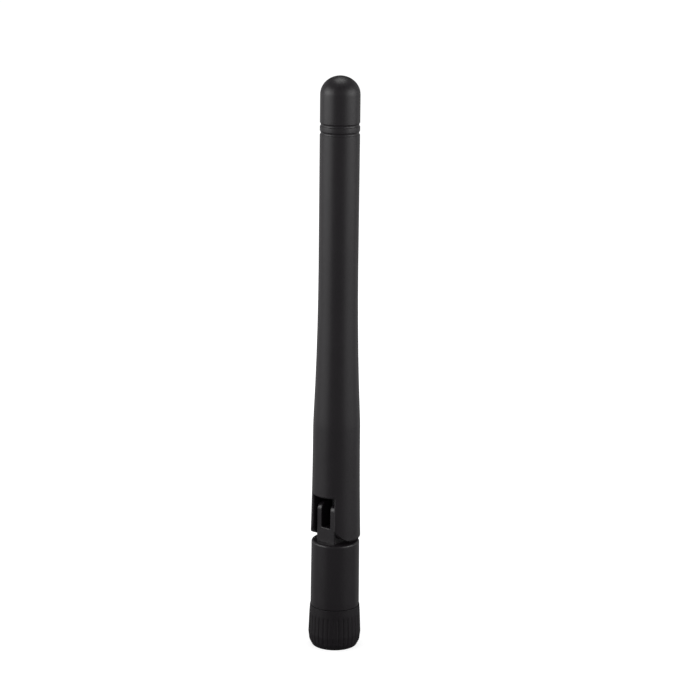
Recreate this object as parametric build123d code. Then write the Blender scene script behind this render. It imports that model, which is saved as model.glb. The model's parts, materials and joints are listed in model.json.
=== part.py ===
"""Articulated 2.4 GHz whip antenna with an RP-SMA plug: a fluted coupling nut, a swivelling base
and a slim mast that folds from upright to square. +Z runs up the mast, the origin is the centre of
the nut's mouth and the mast folds towards -Y. Millimetres."""

from build123d import *
import os

os.makedirs("parts", exist_ok=True)

# Overall
mast_top_z = 108.0

# Coupling nut
nut_height = 7.95
swivel_gap = 0.06              # between the nut and the collar that turns on it
grip_top_r = 4.66
grip_band_r = 4.77             # lower edge of the smooth band at the top
grip_band_z = 6.5
grip_wide_r = 4.93
grip_wide_z = 2.5              # the grip widens down to here
grip_foot_r = 4.22
grip_foot_wide_r = 4.74
grip_foot_z = 1.0              # the foot is a steep chamfer with soft corners
grip_top_round = 0.06
grip_foot_round = 0.6
grip_mouth_round = 0.12
flute_count = 32
flute_turn = 2.5               # degrees from +X to the first flute
flute_r = 0.21                 # each flute is a fine round groove
flute_depth = 0.11
flute_low_z = 0.9
flute_high_z = 6.3
insert_r = 3.9
insert_low_z = 0.25
insert_high_z = 7.3
thread_minor_r = 2.82          # minor radius of the 1/4-36 UNS thread
thread_end_z = 3.05
thread_relief_r = 3.3
mouth_chamfer = 0.3
grip_lip_r = 3.2

# Connector body and what it holds
shell_r = 2.285
shell_front_z = 3.1            # reference plane of the plug
shell_chamfer = 0.1
gasket_inner_r = 2.5           # the gasket sits round a short shoulder
gasket_low_z = 4.75
flange_low_z = 5.25
flange_high_z = 7.2
flange_r = 3.05
running_clearance = 0.05
ring_groove_low_z = 6.1
ring_groove_high_z = 6.7
ring_groove_r = 2.65
ring_inner_r = 2.72
ring_outer_r = 3.34
ring_opening = 1.4
neck_r = 2.6
shank_r = 3.0
shank_low_z = 8.2
shank_high_z = 12.4
stem_r = 1.08
stem_high_z = 16.2
insulator_r = 2.06
insulator_high_z = 9.5
solder_chamber_r = 1.2
solder_chamber_z = 11.2
contact_r = 0.635
contact_bore_r = 0.475
contact_bore_z = 5.4
contact_slit = 0.14
contact_slit_length = 1.7
contact_high_z = 10.7
solder_cup_z = 9.9

# Coaxial cable, 1.37 mm over its jacket
conductor_r = 0.15
dielectric_r = 0.44
braid_r = 0.565
jacket_r = 0.685
cable_clearance = 0.015
braid_over_stem_r = 1.24
ferrule_r = 1.5
ferrule_low_z = 12.6
ferrule_high_z = 16.6
shrink_wall = 0.22
jacket_low_z = 17.4

# Base: collar, tongue and two prongs
collar_low_z = nut_height + swivel_gap
collar_top_z = 20.75
collar_low_r = 4.57
collar_top_r = 4.49
collar_round = 0.45
collar_foot_round = 0.04
base_cavity_r = 2.2
base_cavity_z = 19.4
tongue_half = 2.2              # half width along the hinge axis
tongue_front_y = -2.95
tongue_swing_r = 2.8           # the tongue's back is round about the hinge axis
tongue_corner_r = 1.25         # front top corner
tongue_round = 0.28
prong_gap = 2.0
prong_gap_low_z = 23.65
prong_gap_round = 0.22
prong_lip_round = 0.2
cable_hole_r = 0.8
cable_funnel_r = 1.1           # the hole opens out where the cable starts to bend
cable_funnel_z = 22.5

# Hinge
pivot_z = 25.4
boss_r = 1.25
boss_tip_x = 3.1
boss_chamfer = 0.2
socket_tip_x = 3.3

# Mast cover
mast_r = 3.64
dome_height = 3.4
flare_top_z = 72.5             # the slim part ends here and the flare begins
flare_curve_r = 570.0
flare_low_z = 45.3
hip_z = 42.9                   # below the flare the mast widens slowly to the hinge
hip_r = 4.37
hip_slope = 0.0065
fork_mid_z = 33.0
fork_mid_r = 4.44
fork_end_r = 4.665
fork_low_z = collar_top_z + 0.55
fork_swing_r = pivot_z - fork_low_z
fork_edge_round = 0.45
slot_half = 2.4
slot_top_z = 29.84
slot_back_y = 3.08
slot_edge_round = 0.28
bore_r = 2.34
bore_round_z = 101.3           # centre of the bore's round end
groove_zs = (99.23, 97.74)     # two fine rings below the tip
groove_section_r = 0.5
groove_depth = 0.15

# Dipole inside the mast
bush_low_z = 30.4
bush_high_z = 35.0
sleeve_outer_r = 2.2
sleeve_inner_r = 2.0
sleeve_low_z = 44.5
sleeve_high_z = 70.4
spacer_low_z = 45.2
spacer_high_z = 48.2
end_cap_low_z = 69.2
solder_top_z = 71.0
solder_r = 1.15
dielectric_top_z = 72.0
rod_r = 0.6
rod_low_z = 72.2
rod_high_z = 97.0
rod_socket_r = 0.17
rod_socket_z = 73.8
shrink_outer_r = 2.32
feed_shrink_low_z = 66.0
feed_shrink_step_z = 73.0
feed_shrink_high_z = 76.0
tip_spacer_low_z = 93.6
tip_spacer_high_z = 96.2


def turned(*points):
    """Solid of revolution about Z from a closed outline of (radius, height) points."""
    return revolve(Plane.XZ * make_face(Polyline(*points, close=True)), Axis.Z)


def ring(inner_r, outer_r, low_z, high_z):
    """Plain ring between two radii and two heights."""
    return turned((inner_r, low_z), (outer_r, low_z), (outer_r, high_z), (inner_r, high_z))


def rod(radius, low_z, high_z):
    return Pos(0, 0, low_z) * Cylinder(radius, high_z - low_z, align=(Align.CENTER, Align.CENTER, Align.MIN))


def cross_pin(radius, tip_x):
    """Cylinder on the hinge axis from -tip_x to tip_x."""
    return Pos(0, 0, pivot_z) * Rot(0, 90, 0) * Cylinder(radius, 2 * tip_x)


def block(low, high):
    """Box between two corners."""
    size = [b - a for a, b in zip(low, high)]
    middle = [(a + b) / 2 for a, b in zip(low, high)]
    return Pos(*middle) * Box(*size)


def circle_edges(solid, radius, height):
    """Edges of a solid that are circles of one radius at one height."""
    edges = solid.edges().filter_by(GeomType.CIRCLE)
    at_height = edges.filter_by(lambda e: abs(e.center(CenterOf.MASS).Z - height) < 0.01)
    return at_height.filter_by(lambda e: abs(e.radius - radius) < 0.01)


# ---- Coupling nut ----

def nut_grip():
    """Moulded grip around the nut, with shallow flutes below a smooth band."""
    body = turned(
        (insert_r, 0),
        (grip_foot_r, 0),
        (grip_foot_wide_r, grip_foot_z),
        (grip_wide_r, grip_wide_z),
        (grip_band_r, grip_band_z),
        (grip_top_r, nut_height),
        (grip_lip_r, nut_height),
        (grip_lip_r, insert_high_z),
        (insert_r, insert_high_z),
    )
    body = fillet(circle_edges(body, grip_top_r, nut_height), grip_top_round)
    body = fillet(circle_edges(body, grip_foot_wide_r, grip_foot_z), grip_foot_round)
    body = fillet(circle_edges(body, grip_foot_r, 0), grip_mouth_round)
    lean = (grip_wide_r - grip_band_r) / (grip_band_z - grip_wide_z)
    high_r = grip_wide_r - lean * (flute_high_z - grip_wide_z) - flute_depth + flute_r
    low_r = grip_wide_r - flute_depth + flute_r
    route = Polyline((low_r, 0, flute_low_z), (low_r, 0, grip_wide_z), (high_r, 0, flute_high_z))
    section = Plane(origin=route @ 0, z_dir=(0, 0, 1)) * Circle(flute_r)
    flute = sweep(section, path=route, transition=Transition.ROUND)
    flute += Pos(high_r, 0, flute_high_z) * Sphere(flute_r)
    flute += Pos(low_r, 0, flute_low_z) * Sphere(flute_r)
    return body - [Rot(0, 0, flute_turn + i * 360 / flute_count) * flute for i in range(flute_count)]


def nut_insert():
    """Brass nut. Its smooth bore stands at the thread's minor radius."""
    body = turned(
        (thread_minor_r, insert_low_z + mouth_chamfer),
        (thread_minor_r + mouth_chamfer, insert_low_z),
        (insert_r, insert_low_z),
        (insert_r, insert_high_z),
        (flange_r + running_clearance, insert_high_z),
        (flange_r + running_clearance, flange_low_z + running_clearance),
        (thread_relief_r, flange_low_z + running_clearance),
        (thread_relief_r, thread_end_z),
        (thread_minor_r, thread_end_z),
    )
    groove = ring(
        flange_r, ring_outer_r + 0.1, ring_groove_low_z, ring_groove_high_z
    )
    return body - groove


# ---- Connector ----

def connector_body():
    """Plated plug body: front shell, flange with its ring groove, shank in the base, crimp stem."""
    return turned(
        (insulator_r, shell_front_z),
        (shell_r - shell_chamfer, shell_front_z),
        (shell_r, shell_front_z + shell_chamfer),
        (shell_r, gasket_low_z),
        (gasket_inner_r, gasket_low_z),
        (gasket_inner_r, flange_low_z),
        (flange_r, flange_low_z),
        (flange_r, ring_groove_low_z),
        (ring_groove_r, ring_groove_low_z),
        (ring_groove_r, ring_groove_high_z),
        (flange_r, ring_groove_high_z),
        (flange_r, flange_high_z),
        (neck_r, flange_high_z),
        (neck_r, shank_low_z),
        (shank_r, shank_low_z),
        (shank_r, shank_high_z),
        (stem_r, shank_high_z),
        (stem_r, stem_high_z),
        (dielectric_r + cable_clearance, stem_high_z),
        (dielectric_r + cable_clearance, solder_chamber_z),
        (solder_chamber_r, solder_chamber_z),
        (solder_chamber_r, insulator_high_z),
        (insulator_r, insulator_high_z),
    )


def retaining_ring():
    """Open spring ring, half in the body's groove and half in the nut's."""
    low = ring_groove_low_z + running_clearance
    high = ring_groove_high_z - running_clearance
    opening = block((-ring_opening / 2, 0, low - 1), (ring_opening / 2, 5, high + 1))
    return ring(ring_inner_r, ring_outer_r, low, high) - opening


def centre_contact():
    """Socket contact: split front tube for the jack's pin, solder cup behind."""
    body = rod(contact_r, shell_front_z, contact_high_z)
    body -= rod(contact_bore_r, shell_front_z, contact_bore_z)
    body -= rod(conductor_r + cable_clearance, solder_cup_z, contact_high_z)
    slit_top = shell_front_z + contact_slit_length
    for turn in (0, 90):
        slit = block((-2, -contact_slit / 2, shell_front_z), (2, contact_slit / 2, slit_top))
        body -= Rot(0, 0, turn) * slit
    return body


# ---- Cable ----

def coax_braid():
    """Braid, opened out over the crimp stem at its lower end."""
    return turned(
        (stem_r, ferrule_low_z),
        (braid_over_stem_r, ferrule_low_z),
        (braid_over_stem_r, stem_high_z),
        (braid_r, jacket_low_z - 0.1),
        (braid_r, solder_top_z),
        (dielectric_r, solder_top_z),
        (dielectric_r, jacket_low_z - 0.2),
        (stem_r, stem_high_z),
    )


def ferrule_heat_shrink():
    """Shrunk tube over the ferrule and the start of the cable."""
    cable_r = jacket_r + shrink_wall
    return turned(
        (ferrule_r, ferrule_low_z + 0.2),
        (ferrule_r + shrink_wall, ferrule_low_z + 0.2),
        (ferrule_r + shrink_wall, ferrule_high_z),
        (cable_r, ferrule_high_z + 1.2),
        (cable_r, base_cavity_z - 0.3),
        (jacket_r, base_cavity_z - 0.3),
        (jacket_r, ferrule_high_z + 1.1),
        (ferrule_r, ferrule_high_z),
    )


# ---- Base ----

def is_prong_lip(edge):
    """True for the upright front edges of the gap between the prongs."""
    box = edge.bounding_box()
    upright = box.size.X < 0.01 and box.size.Y < 0.01 and box.size.Z > 1
    return upright and abs(abs(box.center().X) - prong_gap / 2) < 0.01 and box.center().Y < 0


def tongue():
    """Upright tongue with a round top, split into two prongs that carry the hinge bosses."""
    foot = pivot_z - collar_top_z + 1
    front = Pos(tongue_front_y, -foot) * Rectangle(-tongue_front_y, foot + tongue_swing_r, align=Align.MIN)
    front = fillet(front.vertices().group_by(Axis.Y)[-1].sort_by(Axis.X)[0], tongue_corner_r)
    back = Rectangle(tongue_swing_r, foot, align=(Align.MIN, Align.MAX))
    side = front + back + Circle(tongue_swing_r)
    slab = extrude(Plane.YZ * side, tongue_half, both=True)
    flat_faces = slab.faces().filter_by(Axis.X)
    slab = fillet(flat_faces.edges(), tongue_round)
    split_height = pivot_z - prong_gap_low_z
    split = block((-prong_gap / 2, -5, -split_height), (prong_gap / 2, 5, 5))
    slab = slab - split
    floor_edges = slab.edges().filter_by(Axis.Y).filter_by_position(
        Axis.Z, -split_height - 0.01, -split_height + 0.01
    )
    slab = fillet(floor_edges, prong_gap_round)
    slab = fillet(slab.edges().filter_by(is_prong_lip), prong_lip_round)
    return Pos(0, 0, pivot_z) * slab


def base_knuckle():
    """Collar, tongue and prongs in one moulding."""
    collar = turned(
        (0, collar_low_z),
        (collar_low_r, collar_low_z),
        (collar_top_r, collar_top_z),
        (0, collar_top_z),
    )
    collar = fillet(circle_edges(collar, collar_top_r, collar_top_z), collar_round)
    collar = fillet(circle_edges(collar, collar_low_r, collar_low_z), collar_foot_round)
    bosses = chamfer(cross_pin(boss_r, boss_tip_x).edges().filter_by(GeomType.CIRCLE), boss_chamfer)
    bosses -= block((-prong_gap / 2, -5, 0), (prong_gap / 2, 5, 50))
    body = collar + tongue() + bosses
    body -= rod(shank_r, collar_low_z, shank_high_z)
    body -= rod(base_cavity_r, shank_high_z, base_cavity_z)
    body -= rod(cable_hole_r, base_cavity_z, cable_funnel_z)
    body -= turned(
        (0, cable_funnel_z),
        (cable_hole_r, cable_funnel_z),
        (cable_funnel_r, prong_gap_low_z + 0.01),
        (0, prong_gap_low_z + 0.01),
    )
    return body


# ---- Mast ----

def flare_r(height):
    """Mast radius in the flare, a large arc that starts tangent to the slim part."""
    return mast_r + (flare_top_z - height) ** 2 / (2 * flare_curve_r)


def mast_outline():
    """Half section of the mast: dome, slim part, flare, hip and the slowly widening hinge end."""
    flare_mid_z = (flare_top_z + flare_low_z) / 2
    flare_end = (flare_r(flare_low_z), flare_low_z)
    flare_slope = (flare_top_z - flare_low_z) / flare_curve_r
    hip = (hip_r, hip_z)
    corner_z = (flare_end[0] + flare_slope * flare_low_z - hip_r - hip_slope * hip_z) / (flare_slope - hip_slope)
    corner = (hip_r - hip_slope * (corner_z - hip_z), corner_z)
    return [
        Line((0, fork_low_z), (0, mast_top_z)),
        EllipticalCenterArc((0, mast_top_z - dome_height), mast_r, dome_height, 0, arc_size=90),
        Line((mast_r, mast_top_z - dome_height), (mast_r, flare_top_z)),
        ThreePointArc((mast_r, flare_top_z), (flare_r(flare_mid_z), flare_mid_z), flare_end),
        Bezier(flare_end, corner, hip),
        ThreePointArc(hip, (fork_mid_r, fork_mid_z), (fork_end_r, fork_low_z)),
        Line((fork_end_r, fork_low_z), (0, fork_low_z)),
    ]


def mast_bore():
    """Bore for the dipole, with a round end under the tip."""
    return rod(bore_r, slot_top_z - 1, bore_round_z) + Pos(0, 0, bore_round_z) * Sphere(bore_r)


def is_slot_mouth(edge):
    """True for the outer edges of the slot: its ceiling's and both cheeks'."""
    box = edge.bounding_box()
    on_wall = box.size.X < 0.01 and abs(abs(box.center().X) - slot_half) < 0.01
    on_ceiling = box.size.Z < 0.01 and abs(box.center().Z - slot_top_z) < 0.01
    return (on_wall or on_ceiling) and box.center().Y < -1


def mast_cover():
    """One closed moulding: slim mast with a fork at its foot, open to the front and below."""
    body = revolve(Plane.XZ * make_face(mast_outline()), Axis.Z)
    body = Rot(0, 0, -90) * body    # the turned surface's seam runs into the slot
    body = fillet(circle_edges(body, fork_end_r, fork_low_z), fork_edge_round)
    for height in groove_zs:
        section_centre_r = mast_r + groove_section_r - groove_depth
        body -= Pos(0, 0, height) * Torus(section_centre_r, groove_section_r)
    front_low = block((-6, -6, fork_low_z - 1), (6, 0, pivot_z))
    body -= front_low - cross_pin(fork_swing_r, 7)
    body -= block((-slot_half, -6, fork_low_z - 1), (slot_half, slot_back_y, slot_top_z))
    body = fillet(body.edges().filter_by(is_slot_mouth), slot_edge_round)
    body -= mast_bore()
    body -= cross_pin(boss_r + running_clearance, socket_tip_x)
    return body


# ---- Dipole ----

def sleeve_end_cap():
    return ring(braid_r + cable_clearance, sleeve_inner_r, end_cap_low_z, sleeve_high_z)


def solder_collar():
    """Ring of solder that joins the braid to the sleeve's end cap."""
    hole_r = braid_r + cable_clearance
    return turned(
        (hole_r, sleeve_high_z),
        (solder_r, sleeve_high_z),
        (solder_r - 0.35, sleeve_high_z + 0.15),
        (hole_r + 0.1, solder_top_z),
        (hole_r, solder_top_z),
    )


def feed_heat_shrink():
    """Shrunk tube from the sleeve's upper end down onto the radiator."""
    wall = shrink_outer_r - sleeve_outer_r
    return turned(
        (sleeve_outer_r, feed_shrink_low_z),
        (shrink_outer_r, feed_shrink_low_z),
        (shrink_outer_r, sleeve_high_z + 0.1),
        (rod_r + wall, feed_shrink_step_z),
        (rod_r + wall, feed_shrink_high_z),
        (rod_r, feed_shrink_high_z),
        (rod_r, feed_shrink_step_z),
        (sleeve_outer_r, sleeve_high_z + 0.1),
    )


def radiator_rod():
    """Upper quarter-wave element, bored at its foot for the cable's conductor."""
    return rod(rod_r, rod_low_z, rod_high_z) - rod(rod_socket_r, rod_low_z, rod_socket_z)


cable_bore_r = jacket_r + cable_clearance

pieces = {
    "nut_grip": nut_grip(),
    "nut_insert": nut_insert(),
    "connector_body": connector_body(),
    "retaining_ring": retaining_ring(),
    "interface_gasket": ring(gasket_inner_r, flange_r, gasket_low_z, flange_low_z),
    "connector_insulator": ring(contact_r, insulator_r, shell_front_z, insulator_high_z),
    "centre_contact": centre_contact(),
    "crimp_ferrule": ring(braid_over_stem_r, ferrule_r, ferrule_low_z, ferrule_high_z),
    "ferrule_heat_shrink": ferrule_heat_shrink(),
    "coax_conductor": rod(conductor_r, solder_cup_z, rod_socket_z),
    "coax_dielectric": ring(conductor_r, dielectric_r, solder_chamber_z, dielectric_top_z),
    "coax_braid": coax_braid(),
    "coax_jacket": ring(braid_r, jacket_r, jacket_low_z, end_cap_low_z),
    "base_knuckle": base_knuckle(),
    "mast_cover": mast_cover(),
    "cable_anchor_bush": ring(cable_bore_r, bore_r, bush_low_z, bush_high_z),
    "sleeve_spacer": ring(cable_bore_r, sleeve_inner_r, spacer_low_z, spacer_high_z),
    "sleeve_tube": ring(sleeve_inner_r, sleeve_outer_r, sleeve_low_z, sleeve_high_z),
    "sleeve_end_cap": sleeve_end_cap(),
    "solder_collar": solder_collar(),
    "feed_heat_shrink": feed_heat_shrink(),
    "radiator_rod": radiator_rod(),
    "tip_spacer": ring(rod_r, bore_r, tip_spacer_low_z, tip_spacer_high_z),
}

for name, piece in pieces.items():
    export_step(piece, f"parts/{name}.step")
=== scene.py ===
"""Looks of the articulated antenna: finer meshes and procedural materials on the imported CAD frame."""

import json
import math
import bmesh
import bpy
from mathutils import Matrix, Vector, noise


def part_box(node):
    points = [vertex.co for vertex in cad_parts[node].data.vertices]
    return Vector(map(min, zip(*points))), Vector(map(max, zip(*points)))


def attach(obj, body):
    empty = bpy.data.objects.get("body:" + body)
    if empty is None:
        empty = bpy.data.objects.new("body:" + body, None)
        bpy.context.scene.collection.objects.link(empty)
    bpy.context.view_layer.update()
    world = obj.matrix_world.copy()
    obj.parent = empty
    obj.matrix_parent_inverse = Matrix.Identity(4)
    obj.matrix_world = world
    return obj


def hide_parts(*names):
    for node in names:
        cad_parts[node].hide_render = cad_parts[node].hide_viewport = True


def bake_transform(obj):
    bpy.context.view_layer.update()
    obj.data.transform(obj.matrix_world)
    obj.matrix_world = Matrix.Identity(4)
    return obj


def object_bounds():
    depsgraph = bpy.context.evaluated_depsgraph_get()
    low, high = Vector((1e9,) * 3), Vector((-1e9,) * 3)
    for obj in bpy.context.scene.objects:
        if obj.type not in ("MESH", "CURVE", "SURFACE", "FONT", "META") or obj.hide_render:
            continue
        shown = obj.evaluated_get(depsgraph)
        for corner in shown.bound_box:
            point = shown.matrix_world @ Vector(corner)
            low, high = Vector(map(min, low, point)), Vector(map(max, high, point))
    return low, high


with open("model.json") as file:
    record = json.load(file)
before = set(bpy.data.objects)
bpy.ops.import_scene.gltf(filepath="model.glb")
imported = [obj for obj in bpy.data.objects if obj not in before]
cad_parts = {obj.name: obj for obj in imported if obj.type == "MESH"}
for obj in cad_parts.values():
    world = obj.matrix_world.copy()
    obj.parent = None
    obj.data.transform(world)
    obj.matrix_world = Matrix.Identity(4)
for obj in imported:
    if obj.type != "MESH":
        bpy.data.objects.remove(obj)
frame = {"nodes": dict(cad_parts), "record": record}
cad_low, cad_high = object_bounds()
scene = bpy.context.scene
collection = scene.collection
scene.view_settings.view_transform = "Standard"
MM = 0.001
MICROMETRE = 1e-6


# ---- Camera ----

CAMERA_AZIMUTH = 38.5          # degrees from the open side of the fork towards +X
CAMERA_DISTANCE = 0.427
CAMERA_HEIGHT = 0.167
CAMERA_PITCH = 14.40           # degrees below the horizon
CAMERA_ROLL = 0.72
CAMERA_LENS = 123.2            # millimetres on a 36 mm sensor
CAMERA_SIDE_STEP = 0.0023      # the object stands a little left of the middle


def make_camera():
    data = bpy.data.cameras.new("camera")
    data.lens = CAMERA_LENS
    data.sensor_width = 36.0
    data.clip_start, data.clip_end = 0.01, 20.0
    cam = bpy.data.objects.new("camera", data)
    collection.objects.link(cam)
    turn = Matrix.Rotation(math.radians(CAMERA_AZIMUTH), 4, "Z")
    place = Matrix.Translation((CAMERA_SIDE_STEP, -CAMERA_DISTANCE, CAMERA_HEIGHT))
    pitch = Matrix.Rotation(math.radians(90 - CAMERA_PITCH), 4, "X")
    roll = Matrix.Rotation(math.radians(CAMERA_ROLL), 4, "Z")
    cam.matrix_world = turn @ place @ pitch @ roll
    scene.camera = cam


# ---- Node helpers ----

def new_material(name):
    material = bpy.data.materials.new(name)
    material.use_nodes = True
    return material, material.node_tree, material.node_tree.nodes["Principled BSDF"]


def millimetres(tree, stretch=(1, 1, 1)):
    """The surface's own coordinates in millimetres, stretched along each axis."""
    place = tree.nodes.new("ShaderNodeTexCoord")
    scale = tree.nodes.new("ShaderNodeVectorMath")
    scale.operation = "MULTIPLY"
    scale.inputs[1].default_value = [s / MM for s in stretch]
    tree.links.new(place.outputs["Object"], scale.inputs[0])
    return scale.outputs[0]


def speckle(tree, where, size, detail=2.0):
    """Soft noise from 0 to 1 with features of about one size."""
    node = tree.nodes.new("ShaderNodeTexNoise")
    node.inputs["Scale"].default_value = 1 / size
    node.inputs["Detail"].default_value = detail
    tree.links.new(where, node.inputs["Vector"])
    return node.outputs[0]


def cells(tree, where, size):
    """Distance from the middle of rounded cells of about one size."""
    node = tree.nodes.new("ShaderNodeTexVoronoi")
    node.inputs["Scale"].default_value = 1 / size
    tree.links.new(where, node.inputs["Vector"])
    return node.outputs["Distance"]


NOISE_LOW, NOISE_HIGH = 0.3, 0.7       # most of a noise lies between these


def spread(tree, value, low, high):
    """Stretches the middle of a noise to the range from low to high."""
    node = tree.nodes.new("ShaderNodeMapRange")
    node.inputs["From Min"].default_value = NOISE_LOW
    node.inputs["From Max"].default_value = NOISE_HIGH
    node.inputs["To Min"].default_value = low
    node.inputs["To Max"].default_value = high
    tree.links.new(value, node.inputs["Value"])
    return node.outputs[0]


def blend_colours(tree, value, first, second):
    node = tree.nodes.new("ShaderNodeMix")
    node.data_type = "RGBA"
    node.inputs[6].default_value = (*first, 1)
    node.inputs[7].default_value = (*second, 1)
    tree.links.new(value, node.inputs[0])
    return node.outputs[2]


def bumped(tree, layers):
    """A chain of bumps from (height, depth in micrometres) layers."""
    normal = None
    for height, depth in layers:
        node = tree.nodes.new("ShaderNodeBump")
        node.inputs["Distance"].default_value = depth * MICROMETRE
        tree.links.new(height, node.inputs["Height"])
        if normal:
            tree.links.new(normal, node.inputs["Normal"])
        normal = node.outputs["Normal"]
    return normal


def finish(name, dark, light, rough_low, rough_high, layers, patch=2.0, stretch=(1, 1, 1), **fixed):
    """A material whose colour and roughness wander in patches, over layers of (kind, size, depth) relief.
    Sizes are in millimetres and depths in micrometres. Other values are set on the shader itself."""
    material, tree, shader = new_material(name)
    where = millimetres(tree, stretch)
    colour = blend_colours(tree, spread(tree, speckle(tree, where, patch, 3.0), 0, 1), dark, light)
    tree.links.new(colour, shader.inputs["Base Color"])
    rough = spread(tree, speckle(tree, where, patch * 0.45, 4.0), rough_low, rough_high)
    tree.links.new(rough, shader.inputs["Roughness"])
    reliefs = [(kind(tree, where, size), depth) for kind, size, depth in layers]
    tree.links.new(bumped(tree, reliefs), shader.inputs["Normal"])
    for key, value in fixed.items():
        shader.inputs[key.replace("_", " ")].default_value = value
    return material


def turned_metal(name, dark, light, rough_low, rough_high, tool_mark=0.05, depth=0.8, **fixed):
    """Metal turned or drawn on its axis, with fine rings left by the tool."""
    return finish(
        name, dark, light, rough_low, rough_high,
        [(speckle, tool_mark * 40, depth), (speckle, tool_mark * 200, 2 * depth)],
        patch=40.0, stretch=(1, 1, 40), Metallic=1.0, **fixed
    )


# ---- Materials ----

def moulded_black(name, dark, light, rough_low, rough_high, grain, gloss=0.5):
    """Injection-moulded black plastic: a fine even mould texture over the faint waviness of the tool."""
    layers = [(speckle, 7.0, 2.2), (cells, 0.42, 0.9 * grain), (speckle, 0.16, 1.6 * grain)]
    return finish(
        name, dark, light, rough_low, rough_high, layers, patch=5.0, IOR=1.47, Specular_IOR_Level=gloss)


def make_materials():
    wavy_tube = [(speckle, 1.6, 6.0), (speckle, 0.25, 1.5)]
    foam_cells = [(cells, 0.28, 70.0), (speckle, 0.1, 8.0)]
    return {
        "mast_plastic": moulded_black(
            "mast_plastic", (0.0122, 0.0100, 0.0124), (0.0145, 0.0120, 0.0148), 0.38, 0.44, 1.0),
        "base_plastic": moulded_black(
            "base_plastic", (0.0118, 0.0097, 0.0120), (0.0140, 0.0116, 0.0143), 0.33, 0.38, 1.0),
        "grip_plastic": moulded_black(
            "grip_plastic", (0.0104, 0.0086, 0.0106), (0.0125, 0.0103, 0.0127), 0.52, 0.60, 1.5, 0.27),
        "plated_brass": turned_metal("plated_brass", (0.80, 0.58, 0.26), (0.90, 0.68, 0.33), 0.20, 0.30),
        "contact_gold": turned_metal("contact_gold", (0.88, 0.63, 0.26), (0.95, 0.70, 0.32), 0.14, 0.22),
        "ptfe": finish("ptfe", (0.80, 0.80, 0.77), (0.88, 0.88, 0.85), 0.32, 0.42,
                       [(speckle, 0.5, 3.0), (speckle, 0.09, 1.2)], Subsurface_Weight=0.25,
                       Subsurface_Radius=(0.0012, 0.0012, 0.001), Subsurface_Scale=1.0, IOR=1.38),
        "spring_bronze": turned_metal("spring_bronze", (0.52, 0.33, 0.17), (0.66, 0.44, 0.24), 0.28, 0.40),
        "silicone": finish("silicone", (0.30, 0.055, 0.035), (0.38, 0.075, 0.045), 0.50, 0.62,
                           [(speckle, 0.3, 4.0)], IOR=1.41),
        "ferrule_copper": turned_metal("ferrule_copper", (0.62, 0.36, 0.22), (0.74, 0.46, 0.30), 0.30, 0.45),
        "heat_shrink": finish("heat_shrink", (0.013, 0.013, 0.014), (0.020, 0.020, 0.021), 0.34, 0.46,
                              wavy_tube, IOR=1.50),
        "cable_jacket": finish("cable_jacket", (0.011, 0.011, 0.012), (0.017, 0.017, 0.018), 0.26, 0.34,
                               [(speckle, 0.8, 2.5), (speckle, 0.12, 0.8)], IOR=1.36),
        "tinned_braid": turned_metal("tinned_braid", (0.55, 0.55, 0.54), (0.78, 0.78, 0.77), 0.24, 0.38),
        "cable_core": finish("cable_core", (0.78, 0.78, 0.74), (0.86, 0.86, 0.83), 0.26, 0.34,
                             [(speckle, 0.4, 1.5)], Subsurface_Weight=0.2,
                             Subsurface_Radius=(0.001, 0.001, 0.0009), Subsurface_Scale=1.0),
        "silvered_wire": turned_metal(
            "silvered_wire", (0.80, 0.79, 0.76), (0.92, 0.91, 0.89), 0.12, 0.20, 0.02, 0.3),
        "brass": turned_metal("brass", (0.55, 0.36, 0.13), (0.74, 0.53, 0.22), 0.26, 0.42, 0.08, 1.0),
        "solder": finish("solder", (0.55, 0.56, 0.57), (0.74, 0.75, 0.76), 0.18, 0.34,
                         [(speckle, 0.3, 9.0), (speckle, 0.08, 2.0)], Metallic=1.0),
        "foam": finish("foam", (0.70, 0.70, 0.65), (0.84, 0.84, 0.79), 0.80, 0.92, foam_cells,
                       Subsurface_Weight=0.15, Subsurface_Radius=(0.001, 0.001, 0.001), Subsurface_Scale=1.0),
        "bush_rubber": finish("bush_rubber", (0.022, 0.022, 0.024), (0.034, 0.034, 0.036), 0.62, 0.74,
                              [(speckle, 0.4, 5.0), (speckle, 0.1, 2.0)], IOR=1.50),
    }


# ---- Mesh helpers ----

def along(start, end, step):
    """Outline points from start towards end, about one step apart, without the end."""
    count = max(1, round(math.dist(start, end) / step))
    return [
        (start[0] + (end[0] - start[0]) * i / count, start[1] + (end[1] - start[1]) * i / count)
        for i in range(count)
    ]


def finely(outline, step):
    """A closed outline with its long sides divided."""
    points = []
    for start, end in zip(outline, outline[1:] + outline[:1]):
        points += along(start, end, step)
    return points


ARC_STEPS = 6                          # sides of the arc in one rounded corner


def rounded(corners):
    """An open outline through (radius, height, round) corners, each round drawn as an arc."""
    outline = []
    for k, (radius, height, size) in enumerate(corners):
        if size == 0:
            outline.append((radius, height))
            continue
        here = Vector((radius, height))
        back = (Vector(corners[k - 1][:2]) - here).normalized()
        forth = (Vector(corners[k + 1][:2]) - here).normalized()
        half = back.angle(forth) / 2
        reach = size / math.tan(half)
        centre = here + (back + forth).normalized() * size / math.sin(half)
        first, last = here + back * reach - centre, here + forth * reach - centre
        for i in range(ARC_STEPS + 1):
            outline.append(tuple(centre + first.lerp(last, i / ARC_STEPS).normalized() * size))
    return outline


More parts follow.
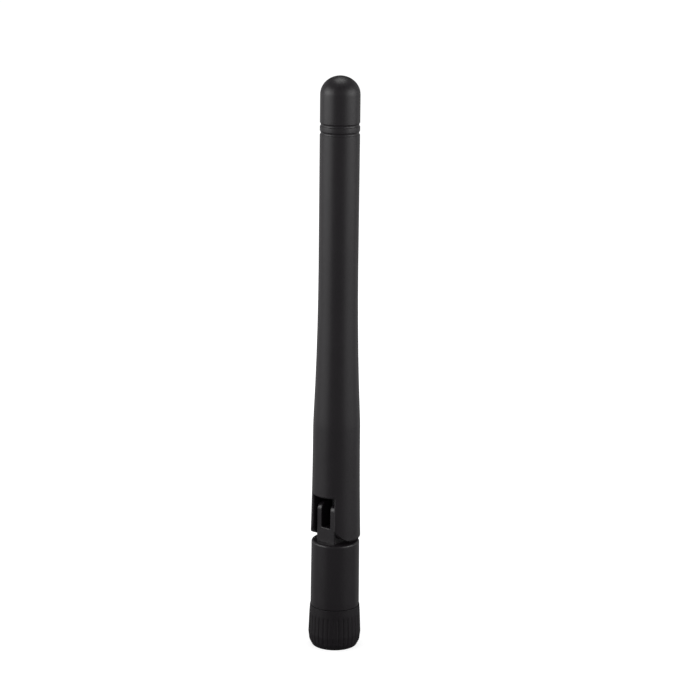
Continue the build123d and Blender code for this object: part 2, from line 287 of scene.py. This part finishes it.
def lathe(name, outline, segments, relief=None, sharp=35):
    """Ring of revolution about Z from a closed outline of (radius, height) in millimetres, anticlockwise
    with the radius to the right. relief(angle, radius, height) gives a point its own radius. An outline that
    starts and ends on the axis makes a solid."""
    solid = outline[0][0] == 0 and outline[-1][0] == 0
    rows = len(outline)
    points, faces = [], []
    for i in range(segments):
        angle = 2 * math.pi * i / segments
        for radius, height in outline:
            r = relief(angle, radius, height) if relief and radius > 0 else radius
            points.append((r * math.cos(angle) * MM, r * math.sin(angle) * MM, height * MM))
        j = (i + 1) % segments
        for k in range(rows - 1 if solid else rows):
            n = (k + 1) % rows
            faces.append((i * rows + k, j * rows + k, j * rows + n, i * rows + n))
    mesh = bpy.data.meshes.new(name)
    mesh.from_pydata(points, [], faces)
    if solid:
        form = bmesh.new()
        form.from_mesh(mesh)
        bmesh.ops.remove_doubles(form, verts=form.verts, dist=1e-8)
        form.to_mesh(mesh)
        form.free()
    mesh.shade_smooth()
    mesh.set_sharp_from_angle(angle=math.radians(sharp))
    piece = bpy.data.objects.new(name, mesh)
    collection.objects.link(piece)
    return piece


def span(node):
    """Lowest height, highest height and outer radius of a round CAD node, in millimetres."""
    low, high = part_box(node)
    return low.z / MM, high.z / MM, high.x / MM


def wander(angle, height, size, seed):
    """Smooth unevenness from -1 to 1 on a round piece, with lumps of about one size."""
    point = Vector((math.cos(angle) * 2 / size, math.sin(angle) * 2 / size, height / size + seed))
    return noise.noise(point)


def stands_for(piece, node, body=None):
    """The piece takes a CAD node's place and finish, and rides on a body when one is given."""
    slot = slot_of[node]
    piece.data.materials.append(materials[slot])
    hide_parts(node)
    if body:
        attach(piece, body)


# ---- Mouldings that keep their CAD shape ----

CREASE = math.cos(math.radians(50))    # faces that meet at less than this angle are one smooth surface
TURNED = math.cos(math.radians(14))    # a turned skin's facets face away from the axis within this angle
LEVEL = 0.05                           # a facet whose normal has less than this sideways is level
MAST_SKIN_R = 3.35                     # the turned skin lies outside these radii, mm
KNUCKLE_SKIN_R = 3.8


def looks_away(face, skin_r):
    """True for a facet of a turned skin outside a radius."""
    flat = face.normal.xy
    if flat.length < LEVEL:
        return False
    return all(
        v.co.xy.length > skin_r * MM and flat.normalized().dot(v.co.xy.normalized()) > TURNED
        for v in face.verts
    )


def moulding(name, node, body, skin_r):
    """A CAD piece with true normals in its corners: the mean of the smooth faces round the corner by their
    areas, and outside skin_r on the turned skin exactly away from the axis."""
    form = bmesh.new()
    form.from_mesh(frame["nodes"][node].data)
    bmesh.ops.remove_doubles(form, verts=form.verts, dist=1e-7)
    form.normal_update()
    areas = {face: face.calc_area() for face in form.faces}
    normals = []
    for face in form.faces:
        turned = looks_away(face, skin_r)
        for corner in face.loops:
            near = [f for f in corner.vert.link_faces if f.normal.dot(face.normal) > CREASE]
            normal = sum((f.normal * areas[f] for f in near), Vector()).normalized()
            if turned:
                away = corner.vert.co.xy.normalized() * math.sqrt(max(0.0, 1 - normal.z ** 2))
                normal = Vector((away.x, away.y, normal.z))
            normals.append(normal)
    points = [v.co.copy() for v in form.verts]
    form.verts.index_update()
    faces = [[v.index for v in face.verts] for face in form.faces]
    form.free()
    mesh = bpy.data.meshes.new(name)
    mesh.from_pydata(points, [], faces)
    mesh.shade_smooth()
    mesh.normals_split_custom_set(normals)
    piece = bpy.data.objects.new(name, mesh)
    collection.objects.link(piece)
    stands_for(piece, node, body)


# ---- Cable through the hinge ----

CABLE_STEP = 0.25


def bends(piece):
    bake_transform(piece)


def tube(name, node, inner_r, outer_r, segments):
    low, high, _ = span(node)
    outline = [(inner_r, low), (outer_r, low), (outer_r, high), (inner_r, high)]
    piece = lathe(name, finely(outline, CABLE_STEP), segments)
    stands_for(piece, node)
    bends(piece)


def woven(angle, radius, height):
    """Braid relief: two sets of wire bundles that pass over and under each other."""
    bundles, pitch, depth = 8, 3.4, 0.035
    turn = height * 2 * math.pi / pitch
    first, second = (bundles * angle + turn) / 2, (bundles * angle - turn) / 2
    over = 0.5 + 0.5 * math.sin(2 * first) * math.sin(2 * second)
    bundle = max(over * abs(math.cos(first)), (1 - over) * abs(math.cos(second)))
    return radius - depth * (1 - bundle)


def make_cable():
    conductor_r, dielectric_r, braid_r, jacket_r = 0.15, 0.44, 0.565, 0.685
    tube("cable_jacket", "coax_jacket", braid_r, jacket_r, 40)
    tube("cable_dielectric", "coax_dielectric", conductor_r, dielectric_r, 32)
    low, high, _ = span("coax_conductor")
    wire = along((0, low), (conductor_r, low), 1) + along((conductor_r, low), (conductor_r, high), CABLE_STEP)
    piece = lathe("cable_conductor", wire + [(conductor_r, high), (0, high)], 20)
    stands_for(piece, "coax_conductor")
    bends(piece)
    low, high, flare_r = span("coax_braid")
    stem_r, stem_z, neck_z = 1.08, 16.2, 17.3
    outer = [(flare_r, low), (flare_r, stem_z), (braid_r, neck_z), (braid_r, high)]
    inner = [(dielectric_r, high), (dielectric_r, neck_z - 0.1), (stem_r, stem_z), (stem_r, low)]

    def braided(angle, radius, height):
        on_stem = radius > stem_r + 0.05
        on_cable = height > stem_z and radius > dielectric_r + 0.08
        return woven(angle, radius, height) if on_stem or on_cable else radius

    piece = lathe("cable_braid", finely(outer + inner, 0.12), 64, braided, sharp=60)
    stands_for(piece, "coax_braid")
    bends(piece)


# ---- Coupling nut ----

def make_grip():
    """The moulded grip, with soft shallow flutes under a smooth band."""
    low, high, wide_r = span("nut_grip")
    insert_r, insert_top, lip_r = 3.9, 7.3, 3.2
    foot_r, foot_wide_r, foot_z, wide_z, band_r, band_z, top_r = 4.22, 4.74, 1.0, 2.5, 4.77, 6.5, 4.66
    count, first_turn, half_width, depth = 32, 2.5, 0.25, 0.11
    flute_low, flute_high, fade, fade_power = 0.62, 6.45, 0.45, 0.6
    segments_per_flute = 18
    step = 2 * math.pi / count

    def fluted(angle, radius, height):
        across = abs((angle - math.radians(first_turn) + step / 2) % step - step / 2) * radius
        ends = min(height - flute_low, flute_high - height) / fade
        if radius < foot_r or across > half_width or ends < 0:
            return radius
        share = 1 - across / half_width
        return radius - depth * share * share * (3 - 2 * share) * min(1.0, ends) ** fade_power

    wall = rounded([
        (insert_r, low, 0), (foot_r, low, 0.12), (foot_wide_r, foot_z, 0.6), (wide_r, wide_z, 0),
        (band_r, band_z, 0), (top_r, high, 0.06), (lip_r, high, 0),
    ])
    outline = []
    for start, end in zip(wall, wall[1:]):
        outline += along(start, end, 0.2)
    outline += [(lip_r, high), (lip_r, insert_top), (insert_r, insert_top)]
    piece = lathe("fluted_grip", outline, count * segments_per_flute, fluted, sharp=50)
    stands_for(piece, "nut_grip", "coupling_nut")


def make_nut_insert():
    """The brass nut with its real 1/4-36 thread."""
    pitch, minor_r, depth = 0.7056, 2.82, 0.36
    low, high, outer_r = span("nut_insert")
    thread_low, thread_high = low + 0.3, 3.05
    bearing_r, relief_r, ring_r = 3.1, 3.3, 3.44
    bearing_low, ring_low, ring_high = 5.3, 6.1, 6.7
    root_share, flank_share, run_in = 0.25, 0.62, 0.3

    def thread(angle, radius, height):
        if radius != minor_r:
            return radius
        phase = abs((height / pitch - angle / (2 * math.pi)) % 1 - 0.5) * 2
        flank = min(1.0, max(0.0, (phase - root_share) / flank_share))
        fade = min(1.0, (height - thread_low) / run_in)
        return radius + depth * flank * fade

    mouth = [(minor_r + 0.3, low), (outer_r - 0.08, low), (outer_r, low + 0.08), (outer_r, high)]
    rear = [(bearing_r, high), (bearing_r, ring_high), (ring_r, ring_high)]
    rear += [(ring_r, ring_low), (bearing_r, ring_low), (bearing_r, bearing_low)]
    front = [(relief_r, bearing_low), (relief_r, thread_high)]
    bore = along((minor_r, thread_high), (minor_r, thread_low), 0.045) + [(minor_r, thread_low)]
    piece = lathe("threaded_nut", mouth + rear + front + bore, 144, thread, sharp=25)
    stands_for(piece, "nut_insert", "coupling_nut")


# ---- Cable end in the base ----

def make_crimp_ferrule():
    """Ferrule pressed to a hexagon between two round ends."""
    low, high, outer_r = span("crimp_ferrule")
    inner_r, round_end, fade, press = 1.24, 0.35, 0.25, 0.14

    def pressed(angle, radius, height):
        if radius < outer_r - 0.01:
            return radius
        share = min(1.0, max(0.0, min(height - low - round_end, high - round_end - height) / fade))
        corner = math.cos((angle % (math.pi / 3)) - math.pi / 6)
        flat = min(radius, (outer_r - press) / corner)
        return radius + (flat - radius) * share

    outline = [(inner_r, low), (outer_r, low), (outer_r, high), (inner_r, high)]
    piece = lathe("pressed_ferrule", finely(outline, 0.12), 72, pressed, sharp=40)
    stands_for(piece, "crimp_ferrule", "base")


def make_ferrule_shrink():
    """Tubing drawn down over the ferrule and the cable, a little uneven."""
    low, high, outer_r = span("ferrule_heat_shrink")
    ferrule_r, ferrule_top, cable_r, wall = 1.5, 16.6, 0.685, 0.22
    outer = [(outer_r, low), (outer_r, ferrule_top)]
    outer += [(cable_r + wall, ferrule_top + 1.2), (cable_r + wall, high)]
    inner = [(cable_r, high), (cable_r, ferrule_top + 1.1), (ferrule_r, ferrule_top), (ferrule_r, low)]

    def uneven(angle, radius, height):
        outside = radius > ferrule_r + 0.1 or (height > ferrule_top + 0.1 and radius > cable_r + 0.1)
        return radius - 0.035 * (1 + wander(angle, height, 1.3, 5.0)) if outside else radius

    piece = lathe("shrunk_ferrule_tube", finely(outer + inner, 0.15), 56, uneven, sharp=70)
    stands_for(piece, "ferrule_heat_shrink", "base")


# ---- Dipole in the mast ----

def make_feed_shrink():
    low, high, outer_r = span("feed_heat_shrink")
    sleeve_r, rod_r, wall, shoulder_z, step_z = 2.2, 0.6, 0.12, 70.5, 73.0
    outer = [(outer_r, low), (outer_r, shoulder_z), (rod_r + wall, step_z), (rod_r + wall, high)]
    inner = [(rod_r, high), (rod_r, step_z), (sleeve_r, shoulder_z), (sleeve_r, low)]

    def uneven(angle, radius, height):
        if shoulder_z < height < step_z:
            return radius + 0.04 * wander(angle, height, 0.9, 9.0)
        return radius

    piece = lathe("shrunk_feed_tube", finely(outer + inner, 0.2), 56, uneven, sharp=70)
    stands_for(piece, "feed_heat_shrink", "mast")


def make_solder():
    """A meniscus of solder between the braid and the end cap."""
    low, high, outer_r = span("solder_collar")
    hole_r = 0.58
    slope = []
    for i in range(13):
        share = i / 12
        slope.append((outer_r + (hole_r + 0.04 - outer_r) * share, low + (high - low) * share ** 2.4))
    piece = lathe(
        "solder_joint", [(hole_r, low)] + slope + [(hole_r, high)], 48,
        lambda a, r, z: r + 0.05 * (r - hole_r) * wander(a, z, 0.5, 2.0), sharp=60)
    stands_for(piece, "solder_collar", "mast")


def make_foam(name, node, inner_r):
    """A foam ring with an open-cut, slightly pitted surface."""
    low, high, outer_r = span(node)
    edge = 0.12
    outline = [
        (inner_r, low), (outer_r - edge, low), (outer_r, low + edge),
        (outer_r, high - edge), (outer_r - edge, high), (inner_r, high),
    ]

    def pitted(angle, radius, height):
        if radius < inner_r + 0.2:
            return radius
        return radius - 0.03 * (1 + wander(angle, height, 0.35, 3.0))

    piece = lathe(name, finely(outline, 0.12), 96, pitted, sharp=60)
    stands_for(piece, node, "mast")


# ---- Stage ----

FLOOR_RADIUS = 4.0
FLOOR_SHADE = 0.42             # diffuse part of the paper, which takes the soft shadow
GLOW_UNDER = 0.80              # painted light of the paper's glow, dimmed under the object as painted shade
GLOW_AWAY = 1.0                # painted light, full away from the object where the lamps fall off
GLOW_REACH = 0.12              # where it is full
ROOM_STRENGTH = 0.09


def make_floor():
    """White paper that glows a little more away from the object, so that it has no edge or horizon: painted
    light, with painted shade where the glow is dimmer under the object.
    """
    mesh = bpy.data.meshes.new("floor")
    form = bmesh.new()
    bmesh.ops.create_circle(form, cap_ends=True, radius=FLOOR_RADIUS, segments=96)
    form.to_mesh(mesh)
    form.free()
    floor = bpy.data.objects.new("floor", mesh)
    collection.objects.link(floor)
    floor.location.z = cad_low.z
    material, tree, shader = new_material("floor_paper")
    shader.inputs["Base Color"].default_value = (FLOOR_SHADE, FLOOR_SHADE, FLOOR_SHADE, 1)
    shader.inputs["Roughness"].default_value = 0.9
    shader.inputs["Specular IOR Level"].default_value = 0.0
    shader.inputs["Emission Color"].default_value = (1, 1, 1, 1)
    place = tree.nodes.new("ShaderNodeTexCoord")
    distance = tree.nodes.new("ShaderNodeVectorMath")
    distance.operation = "LENGTH"
    tree.links.new(place.outputs["Object"], distance.inputs[0])
    # painted light: the glow rises from dim under the object (painted shade) to full away from it
    glow = tree.nodes.new("ShaderNodeMapRange")
    glow.inputs["From Max"].default_value = GLOW_REACH
    glow.inputs["To Min"].default_value = GLOW_UNDER
    glow.inputs["To Max"].default_value = GLOW_AWAY
    tree.links.new(distance.outputs["Value"], glow.inputs["Value"])
    tree.links.new(glow.outputs[0], shader.inputs["Emission Strength"])
    mesh.materials.append(material)
    floor.visible_glossy = False
    floor.visible_shadow = False
    floor.visible_diffuse = False


def panel(name, azimuth, distance, low_z, width, height, radiance):
    """An upright soft box that faces the object. Azimuth is counted from the camera's side."""
    data = bpy.data.lights.new(name, "AREA")
    data.shape = "RECTANGLE"
    data.size, data.size_y = width, height
    data.energy = radiance * math.pi * width * height
    lamp = bpy.data.objects.new(name, data)
    lamp.visible_camera = False
    collection.objects.link(lamp)
    turn = Matrix.Rotation(math.radians(CAMERA_AZIMUTH + azimuth), 4, "Z")
    place = Matrix.Translation((0, -distance, low_z + height / 2))
    face = Matrix.Rotation(math.radians(90), 4, "X")
    lamp.matrix_world = turn @ place @ face


def top_panel(name, behind, low_z, width, radiance):
    """A level soft box that faces down, a little behind the object as the camera sees it."""
    data = bpy.data.lights.new(name, "AREA")
    data.shape = "SQUARE"
    data.size = width
    data.energy = radiance * math.pi * width * width
    lamp = bpy.data.objects.new(name, data)
    lamp.visible_camera = False
    collection.objects.link(lamp)
    turn = Matrix.Rotation(math.radians(CAMERA_AZIMUTH), 4, "Z")
    lamp.matrix_world = turn @ Matrix.Translation((0, behind, low_z))


def make_world():
    """The camera sees white paper. The object sees a dim room."""
    world = bpy.data.worlds.new("studio")
    scene.world = world
    world.use_nodes = True
    nodes, links = world.node_tree.nodes, world.node_tree.links
    room = nodes["Background"]
    room.inputs["Strength"].default_value = ROOM_STRENGTH
    room.inputs["Color"].default_value = (1, 1, 1, 1)
    paper = nodes.new("ShaderNodeBackground")
    paper.inputs["Color"].default_value = (1, 1, 1, 1)
    rays = nodes.new("ShaderNodeLightPath")
    mix = nodes.new("ShaderNodeMixShader")
    links.new(rays.outputs["Is Camera Ray"], mix.inputs[0])
    links.new(room.outputs[0], mix.inputs[1])
    links.new(paper.outputs[0], mix.inputs[2])
    links.new(mix.outputs[0], nodes["World Output"].inputs["Surface"])


def light_the_stage():
    """Soft boxes at both sides, weaker ones behind for the edges, and one over the top. Each has its azimuth,
    distance, lower edge, width, height and radiance."""
    panel("left_table_glow", -73, 0.45, -0.16, 0.52, 0.12, 0.25)
    panel("left_low_soft_box", -73, 0.45, -0.04, 0.52, 0.13, 1.6)
    panel("left_soft_box", -73, 0.45, 0.09, 0.52, 0.30, 2.2)
    panel("left_core", -76, 0.44, 0.13, 0.24, 0.12, 3.4)
    panel("right_table_glow", 69, 0.45, -0.16, 0.54, 0.12, 0.2)
    panel("right_low_soft_box", 69, 0.45, -0.04, 0.54, 0.13, 1.3)
    panel("right_soft_box", 69, 0.45, 0.09, 0.54, 0.30, 1.9)
    panel("right_core", 71, 0.44, 0.13, 0.24, 0.12, 3.0)
    panel("left_back_low_soft_box", -130, 0.45, -0.18, 0.40, 0.08, 0.20)
    panel("left_back_soft_box", -130, 0.45, -0.10, 0.40, 0.24, 0.46)
    panel("left_back_high_soft_box", -130, 0.45, 0.14, 0.40, 0.30, 0.25)
    panel("right_back_low_soft_box", 130, 0.45, -0.18, 0.40, 0.08, 0.20)
    panel("right_back_soft_box", 130, 0.45, -0.10, 0.40, 0.24, 0.36)
    panel("right_back_high_soft_box", 130, 0.45, 0.14, 0.40, 0.30, 0.25)
    panel("front_fill", 0, 0.70, -0.20, 1.00, 0.90, 0.22)
    top_panel("top_soft_box", 0.13, 0.50, 0.24, 3.6)


# ---- Assembly ----

make_camera()
make_floor()
make_world()
light_the_stage()

materials = make_materials()
slot_of = {s["node"]: s["material_slot"] for s in frame["record"]["subparts"]}
for node, cad_piece in frame["nodes"].items():
    cad_piece.data.materials.clear()
    cad_piece.data.materials.append(materials[slot_of[node]])

moulding("mast_moulding", "mast_cover", "mast", MAST_SKIN_R)
moulding("knuckle_moulding", "base_knuckle", "base", KNUCKLE_SKIN_R)
make_grip()
make_nut_insert()
make_crimp_ferrule()
make_ferrule_shrink()
make_cable()
make_feed_shrink()
make_solder()
make_foam("lower_foam_ring", "sleeve_spacer", 0.7)
make_foam("upper_foam_ring", "tip_spacer", 0.6)
